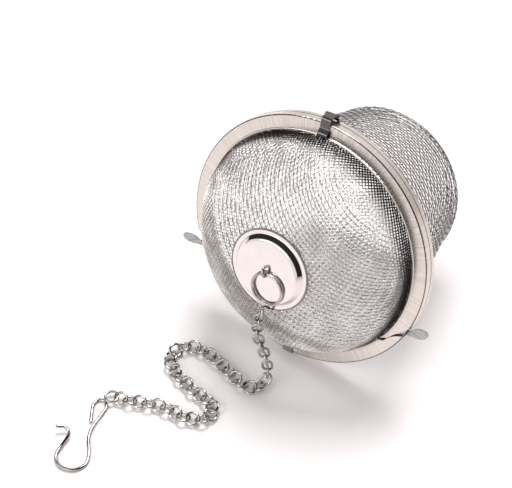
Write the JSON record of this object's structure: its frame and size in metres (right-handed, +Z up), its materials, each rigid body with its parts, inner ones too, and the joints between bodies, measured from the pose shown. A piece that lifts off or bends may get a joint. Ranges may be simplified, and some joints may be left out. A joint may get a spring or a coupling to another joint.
{
  "type": "mesh tea infuser",
  "caption": "Hinged stainless steel mesh tea infuser with a deep basket, a domed lid, and a chain with a wire hook, lying closed on its side",
  "frame": {"origin": "on the table under the middle of the closed infuser's outer box, without its chain and hook", "axes": "+Z up, the infuser lying on its side; the lid faces -Y and a little up, the basket's foot points to +Y, and the ears point to +X and -X"},
  "size_m": [0.0974, 0.1583, 0.0898],
  "materials": {
    "mesh_steel": "woven wire, bright",
    "rim_steel": "brushed",
    "dull_steel": "plain mill",
    "bright_steel": "polished"
  },
  "bodies": {
    "lid": {"lid_mesh": "mesh_steel", "lid_band_upper": "rim_steel", "lid_band_lower": "rim_steel", "lid_clamp_ring": "dull_steel", "cap_disc": "bright_steel", "cap_washer": "dull_steel", "cap_staple": "bright_steel", "hinge_strap": "rim_steel", "latch_foot": "rim_steel", "chain": "bright_steel"},
    "basket": {"basket_mesh": "mesh_steel", "basket_rim": "rim_steel", "basket_clamp_ring": "dull_steel", "hinge_pin": "dull_steel", "hinge_lug_left": "rim_steel", "hinge_lug_right": "rim_steel", "ear_left": "rim_steel", "ear_right": "rim_steel"},
    "latch": {"latch_spring": "rim_steel"},
    "ring": {"jump_ring": "bright_steel"},
    "hook": {"hook": "bright_steel"}
  },
  "joints": [
    {"name": "basket_hinge", "type": "hinge", "parent": "lid", "child": "basket", "pos_m": [-0.00201, 0.00102, 0.08782], "axis": [0.999, 0.014, 0.0413], "range_deg": [0, 130]},
    {"name": "latch_flex", "type": "hinge", "parent": "lid", "child": "latch", "pos_m": [0.00197, -0.03242, 0.00296], "axis": [-0.999, -0.014, -0.0413], "range_deg": [0, 8], "stiffness_Nm_per_rad": 0.05},
    {"name": "ring_swing", "type": "hinge", "parent": "lid", "child": "ring", "pos_m": [0.00015, -0.04133, 0.05343], "axis": [-0.9511, -0.0993, -0.2926], "range_deg": [0, 15]},
    {"name": "hook_swing", "type": "hinge", "parent": "lid", "child": "hook", "pos_m": [-0.0396, -0.0841, 0.00057], "axis": [0, 0, 1], "range_deg": [-45, 10]}
  ]
}
